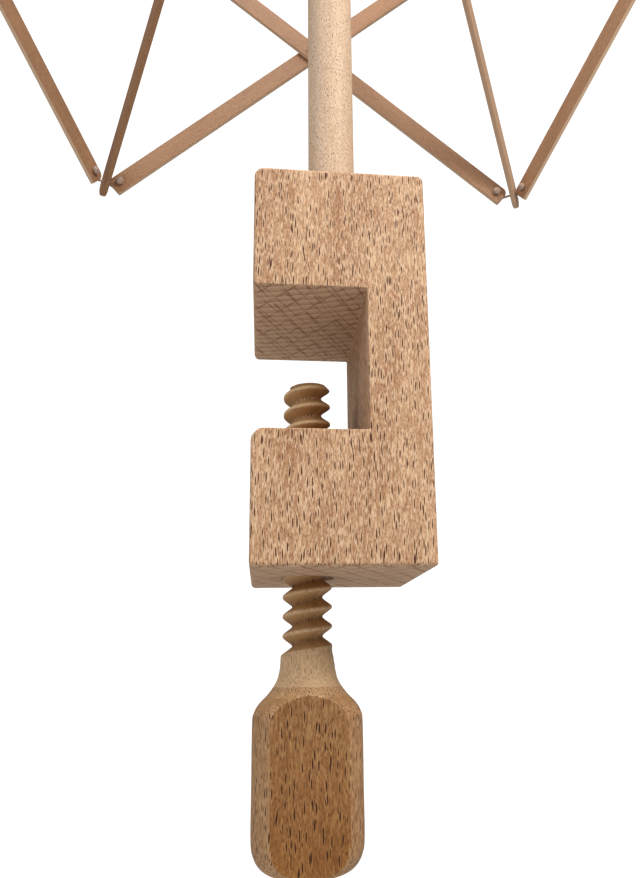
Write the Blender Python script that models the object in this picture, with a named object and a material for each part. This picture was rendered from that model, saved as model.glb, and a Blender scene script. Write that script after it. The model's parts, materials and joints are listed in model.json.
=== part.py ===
# Umbrella yarn swift on a table clamp. Units are metres, Z is up.
# The origin is on the main shaft's axis, in the plane of the upper jaw's underside,
# which rests on the table top when the swift is clamped on.

import math

import bmesh
import bpy
import numpy as np
from mathutils import Matrix, Vector
from mathutils.geometry import tessellate_polygon

mm = 0.001

# clamp block, a C-shaped piece that opens towards -X
block_width = 54.0 * mm
block_depth = 62.0 * mm
block_top = 40.5 * mm
jaw_gap = 45.5 * mm
block_bottom = -86.0 * mm
mouth_depth = 35.0 * mm
block_round = 1.4 * mm

# main shaft and its blind socket in the block
shaft_radius = 8.25 * mm
shaft_foot = 12.5 * mm
socket_gap = 0.35 * mm

# clamp screw with its handle, one piece of wood
screw_x = -9.0 * mm
thread_outer = 7.75 * mm
thread_root = 4.8 * mm
thread_pitch = 6.0 * mm
thread_gap = 0.4 * mm
thread_phase = 0.098
thread_sides = 20
screw_top = -22.0 * mm
tip_height = 2.0 * mm
neck_top = -110.0 * mm
handle_flat = 12.3 * mm
handle_profile = (
    (-110.0, 8.3),
    (-114.0, 8.6),
    (-117.5, 9.6),
    (-121.0, 12.0),
    (-124.0, 14.9),
    (-126.5, 16.3),
    (-130.0, 16.8),
    (-148.0, 16.8),
    (-162.0, 16.8),
    (-166.5, 16.1),
    (-169.6, 14.2),
    (-171.4, 11.0),
    (-172.0, 6.5),
)

# umbrella: six lower and six upper joints, joined by crossed outer slats
arms = 6
slat_length = 355.0 * mm  # pivot to pivot, on the outer slats and on the spokes
open_angle = math.radians(49.5)  # slats and spokes from the vertical
pivot_offset = 12.0 * mm  # of each outer slat from its joint's centre, along the chord
hub_pivot = 2 * pivot_offset  # keeps every slat at one angle as the umbrella folds
joint_height = 222.0 * mm
first_azimuth = math.radians(57.95)
slat_width = 13.0 * mm
slat_thick = 3.0 * mm
slat_overhang = 6.5 * mm
slat_corner = 1.0 * mm
slat_clip = 4.4 * mm  # rounding of the corner that passes the spoke
layer_gap = 0.4 * mm
spoke_width = 13.0 * mm
spoke_thick = 3.4 * mm
spoke_overhang = 10.0 * mm
cord_hole = 1.5 * mm
cord_radius = 0.8 * mm
knot_radius = 1.9 * mm
wire_radius = 0.8 * mm
wire_hole = 1.35 * mm

# hubs, lock collar with its thumbscrew, and the yarn cup
hub_radius = 31.0 * mm
hub_half = 9.0 * mm
hub_core = 16.8 * mm
hub_bore = 8.65 * mm
slot_width = 4.3 * mm
groove_half = 1.3 * mm
collar_radius = 16.0 * mm
collar_height = 18.0 * mm
thumb_radius = 3.0 * mm
thumb_head = 9.0 * mm
cup_radius = 27.0 * mm
cup_height = 44.0 * mm

ring_radius = hub_pivot + slat_length * math.sin(open_angle)
rise = slat_length * math.cos(open_angle)
upper_z = joint_height + rise
layer = (slat_thick + layer_gap) / 2
side_step = (spoke_thick + layer_gap) / 2


def clear_scene():
    for thing in list(bpy.data.objects):
        bpy.data.objects.remove(thing, do_unlink=True)


def wood(name, red, green, blue, roughness=0.55, metallic=0.0):
    made = bpy.data.materials.new(name)
    made.use_nodes = True
    shader = made.node_tree.nodes["Principled BSDF"]
    shader.inputs["Base Color"].default_value = (red, green, blue, 1.0)
    shader.inputs["Roughness"].default_value = roughness
    shader.inputs["Metallic"].default_value = metallic
    made.diffuse_color = (red, green, blue, 1.0)
    return made


def tidy(mesh_data, merge=0.0):
    bm = bmesh.new()
    bm.from_mesh(mesh_data)
    if merge:
        bmesh.ops.remove_doubles(bm, verts=bm.verts, dist=merge)
        bmesh.ops.dissolve_degenerate(bm, dist=merge, edges=bm.edges)
    open_edges = [e for e in bm.edges if e.is_boundary]
    if open_edges:
        bmesh.ops.holes_fill(bm, edges=open_edges, sides=0)
    bmesh.ops.recalc_face_normals(bm, faces=bm.faces)
    bm.to_mesh(mesh_data)
    bm.free()
    return mesh_data


def mesh_of(name, points, faces, merge=0.0):
    data = bpy.data.meshes.new(name)
    data.from_pydata([tuple(p) for p in points], [], [tuple(f) for f in faces])
    return tidy(data, merge)


def place(name, data, material, matrix=None, parent=None):
    made = bpy.data.objects.new(name, data)
    bpy.context.scene.collection.objects.link(made)
    if not data.materials:
        data.materials.append(material)
    made.matrix_world = matrix or Matrix()
    if parent:
        made.parent = parent
        made.matrix_parent_inverse = parent.matrix_world.inverted()
    return made


def helper(name, where, parent=None):
    made = bpy.data.objects.new(name, None)
    made.empty_display_size = 0.02
    bpy.context.scene.collection.objects.link(made)
    made.matrix_world = Matrix.Translation(where)
    if parent:
        made.parent = parent
        made.matrix_parent_inverse = parent.matrix_world.inverted()
    bpy.context.view_layer.update()
    return made


def axes_at(where, along, normal):
    """Local Z runs along, local Y is the normal, and local X finishes the frame."""
    z = Vector(along).normalized()
    y = Vector(normal)
    y = (y - z * y.dot(z)).normalized()
    x = y.cross(z)
    turn = Matrix((x, y, z)).transposed().to_4x4()
    return Matrix.Translation(where) @ turn


def circle(radius, count, centre=(0.0, 0.0), start=0.0):
    turn = start + np.arange(count) * 2 * math.pi / count
    return [(centre[0] + radius * math.cos(a), centre[1] + radius * math.sin(a)) for a in turn]


def revolve(name, profile, sides, closed=False):
    """Turns (radius, height) points about Z. A closed profile makes a ring, as for a hub."""
    turn = np.arange(sides) * 2 * math.pi / sides
    points = [(r * math.cos(a), r * math.sin(a), z) for r, z in profile for a in turn]
    rows = len(profile)
    faces = []
    for j in range(rows if closed else rows - 1):
        k = (j + 1) % rows
        for i in range(sides):
            n = (i + 1) % sides
            faces.append((j * sides + i, j * sides + n, k * sides + n, k * sides + i))
    return mesh_of(name, points, faces, 1e-7)


def plate(name, outline, holes, thickness):
    """A flat strip in the local XZ plane with round holes through it along Y."""
    loops = [outline] + holes
    flat = [p for loop in loops for p in loop]
    count = len(flat)
    points = [(x, -thickness / 2, z) for x, z in flat] + [(x, thickness / 2, z) for x, z in flat]
    fill = tessellate_polygon([[Vector((x, z, 0.0)) for x, z in loop] for loop in loops])
    faces = [tuple(t) for t in fill] + [tuple(i + count for i in t[::-1]) for t in fill]
    first = 0
    for loop in loops:
        size = len(loop)
        for i in range(size):
            a, b = first + i, first + (i + 1) % size
            faces.append((a, b, b + count, a + count))
        first += size
    return mesh_of(name, points, faces)


def strip_outline(half_width, low, high, corners, steps):
    """A long rectangle from z = low to z = high; corners are its roundings, counter-clockwise from +X, high."""
    found = []
    sides = ((1, high, 0), (-1, high, 90), (-1, low, 180), (1, low, 270))
    for (sx, z, start), corner in zip(sides, corners):
        cx = sx * (half_width - corner)
        cz = z - corner if z == high else z + corner
        for i in range(steps + 1):
            a = math.radians(start + 90 * i / steps)
            found.append((cx + corner * math.cos(a), cz + corner * math.sin(a)))
    kept = [p for i, p in enumerate(found) if math.dist(p, found[i - 1]) > 1e-6]
    return kept


def smooth_path(points, steps):
    """Catmull-Rom curve through points in a plane, with its ends kept."""
    pts = [np.array(p, float) for p in points]
    pts = [2 * pts[0] - pts[1]] + pts + [2 * pts[-1] - pts[-2]]
    found = []
    for i in range(1, len(pts) - 2):
        for s in range(steps):
            t = s / steps
            a, b, c, d = pts[i - 1], pts[i], pts[i + 1], pts[i + 2]
            found.append(
                0.5 * (2 * b + (c - a) * t + (2 * a - 5 * b + 4 * c - d) * t * t
                       + (3 * b - a - 3 * c + d) * t ** 3)
            )
    found.append(pts[-2])
    return np.array(found)


def cord_mesh(name, path, radii, sides=5):
    """A round cord along a path in the local XY plane, with its own radius at each point."""
    path = np.array(path, float)
    along = np.gradient(path, axis=0)
    along /= np.linalg.norm(along, axis=1)[:, None]
    turn = np.arange(sides) * 2 * math.pi / sides
    points = []
    for (x, y), (ax, ay), r in zip(path, along, radii):
        points += [(x - ay * r * math.cos(a), y + ax * r * math.cos(a), r * math.sin(a)) for a in turn]
    faces = []
    for j in range(len(path) - 1):
        for i in range(sides):
            n = (i + 1) % sides
            faces.append((j * sides + i, j * sides + n, (j + 1) * sides + n, (j + 1) * sides + i))
    return mesh_of(name, points, faces)


def knot_run(start, direction, inward_radius):
    """Points and radii of a knot that begins at start and bulges along direction."""
    steps = (0.0, 0.5 * mm, 1.6 * mm, 2.9 * mm, 3.7 * mm)
    swell = (inward_radius, knot_radius * 0.85, knot_radius, knot_radius * 0.85, knot_radius * 0.35)
    here = [np.array(start) + np.array(direction) * s for s in steps]
    return here, list(swell)


def thread_radius(turns, grow=0.0):
    """Radius of the thread at a number of pitches along it: crest, flank, root, flank."""
    part = turns - math.floor(turns)
    crest, root = thread_outer + grow, thread_root + grow
    if part < 0.18:
        return crest
    if part < 0.5:
        return crest + (root - crest) * (part - 0.18) / 0.32
    if part < 0.68:
        return root
    return root + (crest - root) * (part - 0.68) / 0.32


def thread_mesh(name, low, high, limit, extra_rings=(), grow=0.0):
    """A right-handed thread about Z, from low to high. limit(z, r) shapes its two ends."""
    cuts = (0.0, 0.18, 0.5, 0.68)
    first = math.floor(low / thread_pitch) - 2
    last = math.ceil(high / thread_pitch) + 2
    levels = [n + c for n in range(first, last) for c in cuts]
    points = []
    for i in range(thread_sides + 1):
        turn = 2 * math.pi * i / thread_sides
        for level in levels:
            z = (level + i / thread_sides + thread_phase) * thread_pitch
            held = min(max(z, low), high)
            exact = held / thread_pitch - i / thread_sides - thread_phase
            # an unclipped point takes its breakpoint's radius, free of rounding
            r = thread_radius(level + 1e-9 if held == z else exact, grow)
            r = limit(held, r)
            points.append((r * math.cos(turn), r * math.sin(turn), held))
    rows = len(levels)
    faces = []
    for i in range(thread_sides):
        for j in range(rows - 1):
            quad = (i * rows + j, (i + 1) * rows + j, (i + 1) * rows + j + 1, i * rows + j + 1)
            heights = [points[q][2] for q in quad]
            if max(heights) - min(heights) > 1e-9:
                faces.append(quad)
    count = len(points)
    rings = list(extra_rings)
    for z, r in rings:
        for i in range(thread_sides):
            turn = 2 * math.pi * i / thread_sides
            points.append((r * math.cos(turn), r * math.sin(turn), z))
    for k in range(len(rings) - 1):
        for i in range(thread_sides):
            n = (i + 1) % thread_sides
            a, b = count + k * thread_sides, count + (k + 1) * thread_sides
            faces.append((a + i, a + n, b + n, b + i))
    return mesh_of(name, points, faces, 2e-6)


def cutter(name, data, matrix=None):
    made = bpy.data.objects.new(name, data)
    bpy.context.scene.collection.objects.link(made)
    made.matrix_world = matrix or Matrix()
    made.hide_render = True
    made.display_type = "WIRE"
    return made


def cut(target, *tools):
    for tool in tools:
        step = target.modifiers.new(tool.name, "BOOLEAN")
        step.operation = "DIFFERENCE"
        step.solver = "EXACT"
        step.object = tool


def box_mesh(name, low, high):
    x0, y0, z0 = low
    x1, y1, z1 = high
    points = [(x, y, z) for x in (x0, x1) for y in (y0, y1) for z in (z0, z1)]
    faces = [(0, 1, 3, 2), (4, 6, 7, 5), (0, 4, 5, 1), (2, 3, 7, 6), (0, 2, 6, 4), (1, 5, 7, 3)]
    return mesh_of(name, points, faces)


def clamp_block_mesh():
    """The C-shaped section, drawn in XZ and stretched along Y, with its outer edges eased."""
    left, right = -block_width / 2, block_width / 2
    inner = left + mouth_depth
    section = [
        (left, block_top), (right, block_top), (right, block_bottom), (left, block_bottom),
        (left, -jaw_gap), (inner, -jaw_gap), (inner, 0.0), (left, 0.0),
    ]
    half = block_depth / 2
    count = len(section)
    points = [(x, -half, z) for x, z in section] + [(x, half, z) for x, z in section]
    faces = [tuple(range(count)), tuple(range(2 * count - 1, count - 1, -1))]
    faces += [(i, (i + 1) % count, (i + 1) % count + count, i + count) for i in range(count)]
    data = mesh_of("clamp_block", points, faces)
    bm = bmesh.new()
    bm.from_mesh(data)
    bm.edges.ensure_lookup_table()
    eased = []
    for edge in bm.edges:
        a, b = (v.co for v in edge.verts)
        inside = all(abs(v.x - inner) < 1e-6 for v in (a, b))
        if not inside:
            eased.append(edge)
    bmesh.ops.bevel(
        bm, geom=eased, offset=block_round, offset_type="OFFSET", segments=2, profile=0.5,
        affect="EDGES", clamp_overlap=True,
    )
    bmesh.ops.recalc_face_normals(bm, faces=bm.faces)
    bm.to_mesh(data)
    bm.free()
    return data


def build_clamp(block_wood, shaft_wood, screw_wood):
    root = helper("clamp_root", (0.0, 0.0, 0.0))
    block = place("clamp_block", clamp_block_mesh(), block_wood, parent=root)
    socket = cutter(
        "cut_socket",
        revolve("cut_socket", [(shaft_radius + socket_gap, block_top + 5 * mm),
                               (shaft_radius + socket_gap, shaft_foot - 0.4 * mm)], 28),
    )
    low, high = block_bottom - 8 * mm, -jaw_gap + 8 * mm

    def plain_ends(z, r):
        return thread_root + thread_gap if z < low + 1 * mm or z > high - 1 * mm else r

    hole = cutter(
        "cut_thread",
        thread_mesh("cut_thread", low, high, plain_ends, grow=thread_gap),
        Matrix.Translation((screw_x, 0.0, 0.0)),
    )
    cut(block, socket, hole)

    top = upper_z + hub_half + 19.5 * mm
    shaft = revolve(
        "main_shaft",
        [(shaft_radius - 0.6 * mm, shaft_foot), (shaft_radius, shaft_foot + 0.6 * mm),
         (shaft_radius, top - 0.6 * mm), (shaft_radius - 0.6 * mm, top)],
        28,
    )
    place("main_shaft", shaft, shaft_wood, parent=root)

    body_top = screw_top - tip_height - 0.3 * mm

    def shaped(z, r):
        r = min(r, 5.9 * mm + (body_top - z) * 1.1)
        return max(r, 8.3 * mm - (z - neck_top) * 0.9)

    rings = [(z * mm, r * mm) for z, r in handle_profile]
    screw = place(
        "clamp_screw",
        thread_mesh("clamp_screw", neck_top, body_top, shaped, rings),
        screw_wood,
        Matrix.Translation((screw_x, 0.0, 0.0)),
    )
    for side, sign in (("front", -1), ("back", 1)):
        near, far = handle_flat, 30 * mm
        low = (-30 * mm, near if sign > 0 else -far, -185 * mm)
        high = (30 * mm, far if sign > 0 else -near, -100 * mm)
        cut(screw, cutter("cut_flat_" + side, box_mesh("cut_flat_" + side, low, high),
                          Matrix.Translation((screw_x, 0.0, 0.0))))
    tip = revolve(
        "screw_tip",
        [(5.9 * mm, screw_top - tip_height), (5.9 * mm, screw_top - 0.9 * mm),
         (5.2 * mm, screw_top)],
        20,
    )
    place("screw_tip", tip, screw_wood, Matrix.Translation((screw_x, 0.0, 0.0)))
    return root


def hub_mesh(name):
    """Turned disc about its own centre, with a wire groove that opens upward."""
    h, r, e = hub_half, hub_radius, 2.0 * mm
    inner, outer = hub_pivot - groove_half, hub_pivot + groove_half
    floor = -groove_half
    profile = [
        (hub_bore, -h), (r - e, -h), (r, -h + e), (r, h - e), (r - e, h),
        (outer, h), (outer, floor), (inner, floor), (inner, h), (hub_bore, h),
    ]
    return revolve(name, profile, 36, closed=True)


def slot_cutter(name, hub, azimuth, side, parent):
    data = box_mesh(
        name,
        (hub_core, side * side_step - slot_width / 2, -20 * mm),
        (hub_radius + 10 * mm, side * side_step + slot_width / 2, 20 * mm),
    )
    where = Matrix.Translation(parent) @ Matrix.Rotation(azimuth, 4, "Z")
    tool = cutter(name, data, where)
    cut(hub, tool)


def ring_mesh(name):
    major, minor = 32, 5
    points, faces = [], []
    for i in range(major):
        a = 2 * math.pi * i / major
        for j in range(minor):
            b = 2 * math.pi * j / minor
            r = hub_pivot + wire_radius * math.cos(b)
            points.append((r * math.cos(a), r * math.sin(a), wire_radius * math.sin(b)))
            n, m = (i + 1) % major, (j + 1) % minor
            faces.append((i * minor + j, n * minor + j, n * minor + m, i * minor + m))
    return mesh_of(name, points, faces)


def build_hubs(hub_wood, wire, collar_wood, knob_wood):
    upper_at, lower_at = Vector((0, 0, upper_z)), Vector((0, 0, joint_height))
    axis = helper("umbrella_axis", upper_at)
    flip = Matrix.Rotation(math.pi, 4, "X")
    upper = place("upper_hub", hub_mesh("upper_hub"), hub_wood, Matrix.Translation(upper_at), axis)
    lower = place("lower_hub", hub_mesh("lower_hub"), hub_wood, Matrix.Translation(lower_at) @ flip)
    for k in range(arms):
        azimuth = first_azimuth + k * 2 * math.pi / arms
        slot_cutter(f"cut_upper_{k + 1}", upper, azimuth, -1, upper_at)
        slot_cutter(f"cut_lower_{k + 1}", lower, azimuth, 1, lower_at)
    place("upper_ring", ring_mesh("upper_ring"), wire, Matrix.Translation(upper_at), axis)
    place("lower_ring", ring_mesh("lower_ring"), wire, Matrix.Translation(lower_at))

    collar_top = joint_height - hub_half - 0.5 * mm
    middle = collar_top - collar_height / 2
    e = 1.5 * mm
    half = collar_height / 2
    collar = place(
        "lock_collar",
        revolve("lock_collar", [(hub_bore, -half), (collar_radius - e, -half),
                                (collar_radius, -half + e), (collar_radius, half - e),
                                (collar_radius - e, half), (hub_bore, half)], 28, closed=True),
        collar_wood,
        Matrix.Translation((0, 0, middle)),
    )
    hole = revolve("cut_thumb", [(thumb_radius + 0.4 * mm, 4 * mm), (thumb_radius + 0.4 * mm, 30 * mm)], 16)
    outward = Matrix.Translation((0, 0, middle)) @ Matrix.Rotation(math.radians(90), 4, "Y")
    outward = Matrix.Rotation(math.radians(-60), 4, "Z") @ outward
    cut(collar, cutter("cut_thumb", hole, outward))
    head_in = collar_radius + 3.0 * mm
    knob = revolve(
        "thumbscrew",
        [(thumb_radius - 0.5 * mm, shaft_radius + 0.45 * mm), (thumb_radius, shaft_radius + 1.2 * mm),
         (thumb_radius, head_in), (thumb_head - 2 * mm, head_in + 1.0 * mm),
         (thumb_head, head_in + 3.0 * mm), (thumb_head, head_in + 6.0 * mm),
         (thumb_head - 1.5 * mm, head_in + 8.0 * mm), (3.0 * mm, head_in + 8.8 * mm)],
        16,
    )
    place("thumbscrew", knob, knob_wood, outward)


def build_cup(cup_wood):
    low = upper_z + hub_half + 0.5 * mm
    r, h = cup_radius, cup_height
    socket = shaft_radius + socket_gap
    profile = [
        (socket, 0.0), (15 * mm, 0.0), (17 * mm, 1.2 * mm), (17 * mm, 5 * mm), (14.5 * mm, 9 * mm),
        (15.5 * mm, 15 * mm), (22 * mm, 22 * mm), (r - 1 * mm, 29 * mm), (r, h - 2 * mm),
        (r - 1.5 * mm, h), (r - 4 * mm, h), (r - 5 * mm, 31 * mm), (16 * mm, 26.5 * mm),
        (0.0, 24.5 * mm),
    ]
    inside = [(0.0, 19.6 * mm), (socket, 19.6 * mm)]
    data = revolve("yarn_cup", inside[::-1][:1] + profile, 32, closed=False)
    bm = bmesh.new()
    bm.from_mesh(data)
    bm.free()
    place("yarn_cup", data, cup_wood, Matrix.Translation((0, 0, low)))


def joint_axes(k):
    """Outward and counter-clockwise directions at joint k."""
    a = first_azimuth + k * 2 * math.pi / arms
    return Vector((math.cos(a), math.sin(a), 0)), Vector((-math.sin(a), math.cos(a), 0))


def joint_point(k, high, radius=None):
    out, _ = joint_axes(k)
    return out * (ring_radius if radius is None else radius) + Vector((0, 0, upper_z if high else joint_height))


def slat_mesh(name, leans):
    """A strip whose two corners next to the spokes are clipped; leans is the side of the one at its foot."""
    foot, head = (slat_corner, slat_clip), (slat_corner, slat_clip)
    corners = (*head, *foot) if leans > 0 else (*head[::-1], *foot[::-1])
    outline = strip_outline(slat_width / 2, -slat_overhang, slat_length + slat_overhang, corners, 2)
    holes = [circle(cord_hole, 8, (0.0, z)) for z in (0.0, slat_length / 2, slat_length)]
    return plate(name, outline, holes, slat_thick)


def spoke_mesh():
    """Local Z runs from the hub pivot to the joint's cord hole."""
    end = spoke_width / 2
    outline = []
    for i in range(9):
        a = math.pi + math.pi * i / 8
        outline.append((end * math.cos(a), end * math.sin(a)))
    tip = slat_length + spoke_overhang - end
    for i in range(9):
        a = math.pi * i / 8
        outline.append((end * math.cos(a), tip + end * math.sin(a)))
    holes = [
        circle(wire_hole, 8, (0.0, 0.0)),
        circle(cord_hole, 8, (0.0, slat_length / 2)),
        circle(cord_hole, 8, (0.0, slat_length)),
    ]
    return plate("spoke", outline, holes, spoke_thick)


def joint_tie_mesh(name, mirror):
    """Cord that ties two slat ends to a spoke end: local X is outward, local Y counter-clockwise."""
    c, s = math.cos(math.pi / arms), math.sin(math.pi / arms)
    plus_t, plus_n = np.array((-s, c)), np.array((c, s))
    minus_t, minus_n = np.array((-s, -c)), np.array((c, -s))
    plus_at, minus_at = plus_t * pivot_offset, minus_t * pivot_offset
    plus_face = -layer - slat_thick / 2
    minus_face = layer - slat_thick / 2
    clear = 0.35 * mm
    knot_a, swell_a = knot_run(plus_at + plus_n * (plus_face - clear), -plus_n, cord_radius)
    knot_b, swell_b = knot_run(minus_at + minus_n * (minus_face - clear), -minus_n, cord_radius)
    middle = [
        plus_at + plus_n * (plus_face + 1.0 * mm), plus_at + plus_n * 0.6 * mm,
        np.array((-3.2, 12.1)) * mm, np.array((-0.6, 10.6)) * mm, np.array((0.4, 6.6)) * mm,
        np.array((0.0, 2.6)) * mm, np.array((0.0, -3.9)) * mm, np.array((1.9, -6.2)) * mm,
        np.array((2.6, -10.2)) * mm, np.array((0.4, -13.6)) * mm,
        minus_at + minus_n * (minus_face + slat_thick + 0.7 * mm),
        minus_at + minus_n * (minus_face + 0.8 * mm),
    ]
    curve = smooth_path(middle, 1)
    path = knot_a[::-1] + list(curve) + knot_b
    radii = swell_a[::-1] + [cord_radius] * len(curve) + swell_b
    path = np.array(path)
    if mirror:
        path = path * np.array((1.0, -1.0))
    return cord_mesh(name, path, radii)


def pin_mesh(name, half):
    """Straight cord tie with a knot at each end, along local X, centred on the origin."""
    knot_a, swell_a = knot_run(np.array((-half - 0.35 * mm, 0.0)), np.array((-1.0, 0.0)), cord_radius)
    knot_b, swell_b = knot_run(np.array((half + 0.35 * mm, 0.0)), np.array((1.0, 0.0)), cord_radius)
    return cord_mesh(name, knot_a[::-1] + knot_b, swell_a[::-1] + swell_b)


def build_umbrella(slat_wood, spoke_wood, cord):
    inner_slat, outer_slat = slat_mesh("inner_slat", 1), slat_mesh("outer_slat", -1)
    spoke = spoke_mesh()
    low_tie, high_tie = joint_tie_mesh("tie_low", False), joint_tie_mesh("tie_high", True)
    waist = pin_mesh("tie_waist", layer + slat_thick / 2)
    cross = pin_mesh("tie_cross", side_step + spoke_thick / 2)
    up = Vector((0, 0, 1))
    for k in range(arms):
        out, around = joint_axes(k)
        n = k + 1
        low, high = joint_point(k, False), joint_point(k, True)
        low_hub, high_hub = joint_point(k, False, hub_pivot), joint_point(k, True, hub_pivot)
        shift = around * side_step
        place(f"spoke_low_{n}", spoke, spoke_wood, axes_at(high_hub - shift, low - high_hub, around))
        place(f"spoke_high_{n}", spoke, spoke_wood, axes_at(low_hub + shift, high - low_hub, around))
        flat = Matrix((out, around, up)).transposed().to_4x4()
        place(f"tie_low_{n}", low_tie, cord, Matrix.Translation(low) @ flat)
        place(f"tie_high_{n}", high_tie, cord, Matrix.Translation(high) @ flat)
        middle = (low + high_hub) / 2
        crosswise = Matrix((around, -out, up)).transposed().to_4x4()
        place(f"tie_cross_{n}", cross, cord, Matrix.Translation(middle) @ crosswise)

        following = (k + 1) % arms
        chord = (joint_point(following, False) - low).normalized()
        normal = chord.cross(up)
        inner_low = low + chord * pivot_offset - normal * layer
        inner_high = joint_point(following, True) - chord * pivot_offset - normal * layer
        outer_low = joint_point(following, False) - chord * pivot_offset + normal * layer
        outer_high = high + chord * pivot_offset + normal * layer
        place(f"slat_inner_{n}", inner_slat, slat_wood, axes_at(inner_low, inner_high - inner_low, normal))
        place(f"slat_outer_{n}", outer_slat, slat_wood, axes_at(outer_low, outer_high - outer_low, normal))
        centre = (low + joint_point(following, True)) / 2
        through = Matrix((normal, up.cross(normal), up)).transposed().to_4x4()
        place(f"tie_waist_{n}", waist, cord, Matrix.Translation(centre) @ through)


clear_scene()
block_beech = wood("planed beech block", 0.60, 0.37, 0.21, 0.6)
shaft_beech = wood("turned pale beech", 0.74, 0.54, 0.38, 0.6)
screw_beech = wood("threaded beech", 0.50, 0.25, 0.10, 0.5)
slat_beech = wood("sliced beech slat", 0.42, 0.24, 0.15, 0.55)
hub_beech = wood("turned beech hub", 0.62, 0.40, 0.24, 0.55)
steel = wood("drawn steel wire", 0.55, 0.55, 0.56, 0.3, 1.0)
cotton = wood("twisted waxed cord", 0.55, 0.42, 0.36, 0.8)
build_clamp(block_beech, shaft_beech, screw_beech)
build_hubs(hub_beech, steel, hub_beech, hub_beech)
build_cup(hub_beech)
build_umbrella(slat_beech, slat_beech, cotton)
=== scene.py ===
import json
import math

import bmesh
import bpy
import numpy as np
from mathutils import Matrix, Vector
from mathutils.geometry import tessellate_polygon


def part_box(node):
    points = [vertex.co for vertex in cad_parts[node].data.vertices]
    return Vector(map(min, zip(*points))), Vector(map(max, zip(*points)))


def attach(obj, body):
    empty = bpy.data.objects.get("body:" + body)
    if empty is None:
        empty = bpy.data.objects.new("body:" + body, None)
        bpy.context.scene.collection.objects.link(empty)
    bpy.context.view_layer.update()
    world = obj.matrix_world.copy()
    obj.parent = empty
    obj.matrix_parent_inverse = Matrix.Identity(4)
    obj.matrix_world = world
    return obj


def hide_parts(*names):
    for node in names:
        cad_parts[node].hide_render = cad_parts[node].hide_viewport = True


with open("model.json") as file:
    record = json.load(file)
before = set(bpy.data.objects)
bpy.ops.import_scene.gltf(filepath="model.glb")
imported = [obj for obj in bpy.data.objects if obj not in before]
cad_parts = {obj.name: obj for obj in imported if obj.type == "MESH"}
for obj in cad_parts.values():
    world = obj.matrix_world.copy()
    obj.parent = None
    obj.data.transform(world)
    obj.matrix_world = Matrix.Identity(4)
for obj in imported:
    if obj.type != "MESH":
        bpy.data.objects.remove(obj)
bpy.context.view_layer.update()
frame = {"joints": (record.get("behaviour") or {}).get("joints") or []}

mm = 0.001
jointOf = {j["name"]: j for j in frame["joints"]}
jointAt = lambda name: np.array(jointOf[name]["pos_m"])
jointAxis = lambda name: np.array(jointOf[name]["axis"], float)


# ---- small helpers for nodes and colours

def linear(hexText, alpha=1.0):
    # sRGB hex to linear: below 0.04045 a straight line, above it a 2.4 power
    parts = np.array([int(hexText[i:i + 2], 16) for i in (1, 3, 5)]) / 255
    parts = np.where(parts <= 0.04045, parts / 12.92, ((parts + 0.055) / 1.055) ** 2.4)
    return (*[float(p) for p in parts], alpha)


def addNode(tree, kind, settings=None, links=None):
    node = tree.nodes.new("ShaderNode" + kind)
    settings, links = settings or {}, links or {}
    for key, value in settings.items():
        if isinstance(key, str) and hasattr(node, key):
            setattr(node, key, value)
    for key, value in settings.items():
        if not (isinstance(key, str) and hasattr(node, key)):
            node.inputs[key].default_value = value
    for key, source in links.items():
        tree.links.new(source, node.inputs[key])
    return node


def ramp(tree, source, stops):
    # stops are (place, grey) or (place, hex)
    node = addNode(tree, "ValToRGB", links={0: source})
    bar = node.color_ramp.elements
    while len(bar) < len(stops):
        bar.new(0.5)
    for spot, (place, shade) in zip(bar, stops):
        spot.position = place
        spot.color = linear(shade) if isinstance(shade, str) else (shade, shade, shade, 1)
    return node.outputs[0]


def blendColours(tree, share, first, second, mode="MIX"):
    node = addNode(tree, "Mix", {"data_type": "RGBA", "blend_type": mode, "clamp_result": True})
    for index, value in ((0, share), (6, first), (7, second)):
        if isinstance(value, bpy.types.NodeSocket):
            tree.links.new(value, node.inputs[index])
        else:
            node.inputs[index].default_value = value
    return node.outputs[2]


def maths(tree, operation, first, second=0.0, third=None):
    node = addNode(tree, "Math", {"operation": operation})
    for index, value in enumerate((first, second, third)):
        if isinstance(value, bpy.types.NodeSocket):
            tree.links.new(value, node.inputs[index])
        elif value is not None:
            node.inputs[index].default_value = value
    return node.outputs[0]


# ---- beech, in the several ways that its pieces were cut
# The attribute "grain" holds each point in millimetres with the fibres along its Z, "endGrain" is 1
# where a saw cut across the fibres, and "tint" runs from 1, darker (heartwood, and painted shade on the
# screw), to -1, paler (pale wood, and painted highlights on slat edges and screw crests).

beechBlock = {  # planed flat-sawn beech: tan, full of short dark ray flecks along the fibres
    "pale": "#e9c29c", "deep": "#9c6c48", "fleck": "#4f260c", "rim": "#ffe4c0", "heart": "#96683f",
    "edgePale": "#ecc8a4", "endPale": "#dcbb9b", "endDeep": "#8a664a",
    "cell": (0.76, 6.4), "fleckShare": 1.0, "fineShare": 0.85, "toneSpan": 9.0,
    "ringGap": 3.6, "pith": (-60.0, -190.0), "roughness": 0.58, "bump": 0.12, "saw": 0.5,
}
beechShaft = {  # a turned dowel from paler wood: fine specks, cream
    "pale": "#e6cbae", "deep": "#c4a587", "fleck": "#7a5c42", "rim": "#f6dfc6", "heart": "#b08a68",
    "edgePale": "#f0d8be", "endPale": "#d9bd9c", "endDeep": "#b8987a",
    "cell": (0.62, 2.4), "fleckShare": 0.62, "fineShare": 0.55, "toneSpan": 7.0,
    "ringGap": 3.2, "pith": (-14.0, 3.0), "roughness": 0.55, "bump": 0.08, "saw": 0.2,
}
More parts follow.
